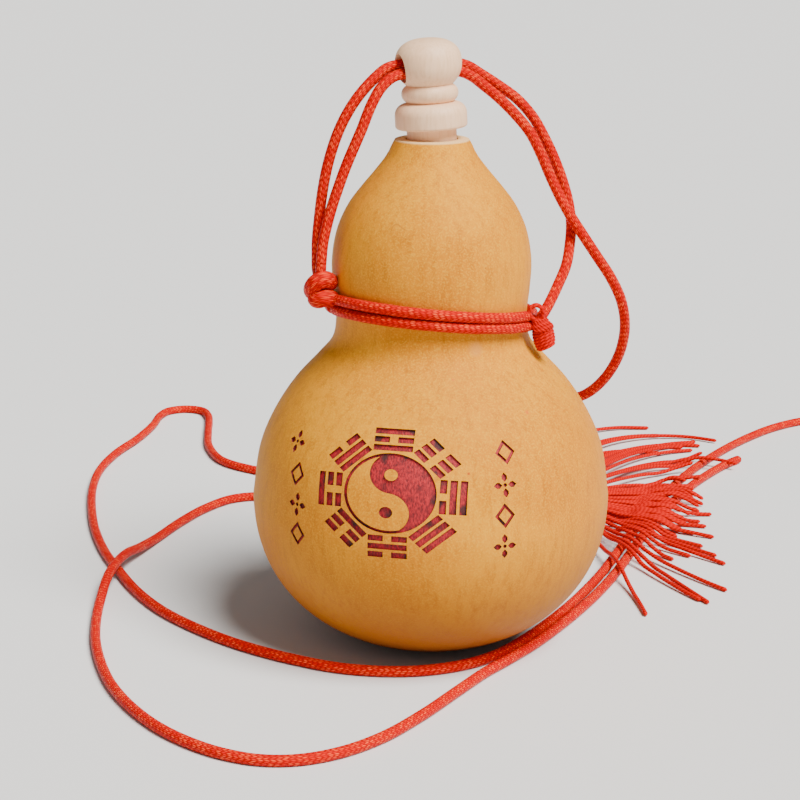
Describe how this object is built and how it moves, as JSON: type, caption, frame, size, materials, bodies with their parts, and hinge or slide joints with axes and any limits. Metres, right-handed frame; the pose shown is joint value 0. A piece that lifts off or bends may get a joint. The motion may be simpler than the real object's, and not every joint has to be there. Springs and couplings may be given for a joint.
{
  "type": "dried bottle gourd flask with stopper and cord",
  "caption": "A dried bottle gourd with a narrow waist, made into a flask: turned wooden stopper, shallow engraving, red satin cord round its waist, long strap and tassel.",
  "frame": {"origin": "the middle of the gourd's flat foot, on the surface that it stands on", "axes": "+Z is the gourd's own axis, up through the waist and the mouth; -Y is the engraved front; +X is to the right seen from the front"},
  "size_m": [0.2768, 0.2783, 0.1425],
  "materials": {
    "gourd_skin": "dried and scraped honey-tan shell with a low waxed sheen",
    "pale_wood": "turned and sanded, unvarnished",
    "red_cord": "braided satin",
    "red_thread": "twisted satin thread"
  },
  "bodies": {
    "root": {"gourd": "gourd_skin", "stopper": "pale_wood", "waist_cord_front_upper": "red_cord", "waist_cord_front_lower": "red_cord", "waist_cord_back_upper": "red_cord", "waist_cord_back_lower": "red_cord", "knot_left": "red_cord", "knot_right": "red_thread", "knot_back": "red_cord", "tether_outer": "red_cord", "tether_inner": "red_cord", "strap_long_tail": "red_cord", "strap_short_tail": "red_cord", "tassel_cord": "red_cord", "tassel_head": "red_thread", "tassel_skirt": "red_thread"}
  },
  "joints": []
}
